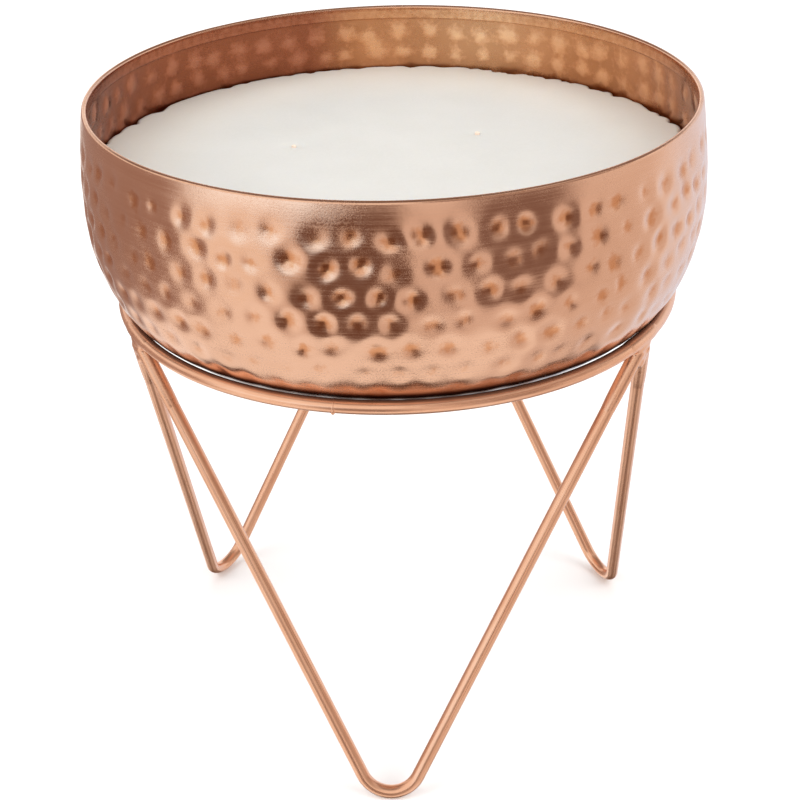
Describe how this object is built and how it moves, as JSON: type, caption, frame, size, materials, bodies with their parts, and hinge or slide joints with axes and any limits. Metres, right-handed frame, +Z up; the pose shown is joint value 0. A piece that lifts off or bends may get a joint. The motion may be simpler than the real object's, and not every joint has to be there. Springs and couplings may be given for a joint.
{
  "type": "bowl candle on a wire stand",
  "caption": "Hammered copper-coloured bowl filled with candle wax, resting in a wire ring on V-shaped wire legs; the bowl lifts off the stand.",
  "frame": {"origin": "on the floor, under the middle of the ring and the bowl", "axes": "+Z up along the bowl's axis, -Y towards the foot of the front leg"},
  "size_m": [0.276, 0.276, 0.296],
  "materials": {
    "copper_wire": "satin",
    "copper_weld": "satin",
    "copper_sheet": "satin",
    "wax": "satin",
    "wick": "matte",
    "tin": "satin"
  },
  "bodies": {
    "stand": {"support_ring": "copper_wire", "ring_closing_weld": "copper_weld", "leg_front": "copper_wire", "leg_rear_right": "copper_wire", "leg_rear_left": "copper_wire", "weld_right": "copper_weld", "weld_rear": "copper_weld", "weld_left": "copper_weld"},
    "bowl": {"bowl_shell": "copper_sheet", "wax_fill": "wax", "wick_front": "wick", "wick_right": "wick", "wick_left": "wick", "sustainer_front": "tin", "sustainer_right": "tin", "sustainer_left": "tin"}
  },
  "joints": [
    {"name": "bowl_lift", "type": "slide", "parent": "stand", "child": "bowl", "axis": [0, 0, 1], "range_m": [0, 0.12]}
  ]
}
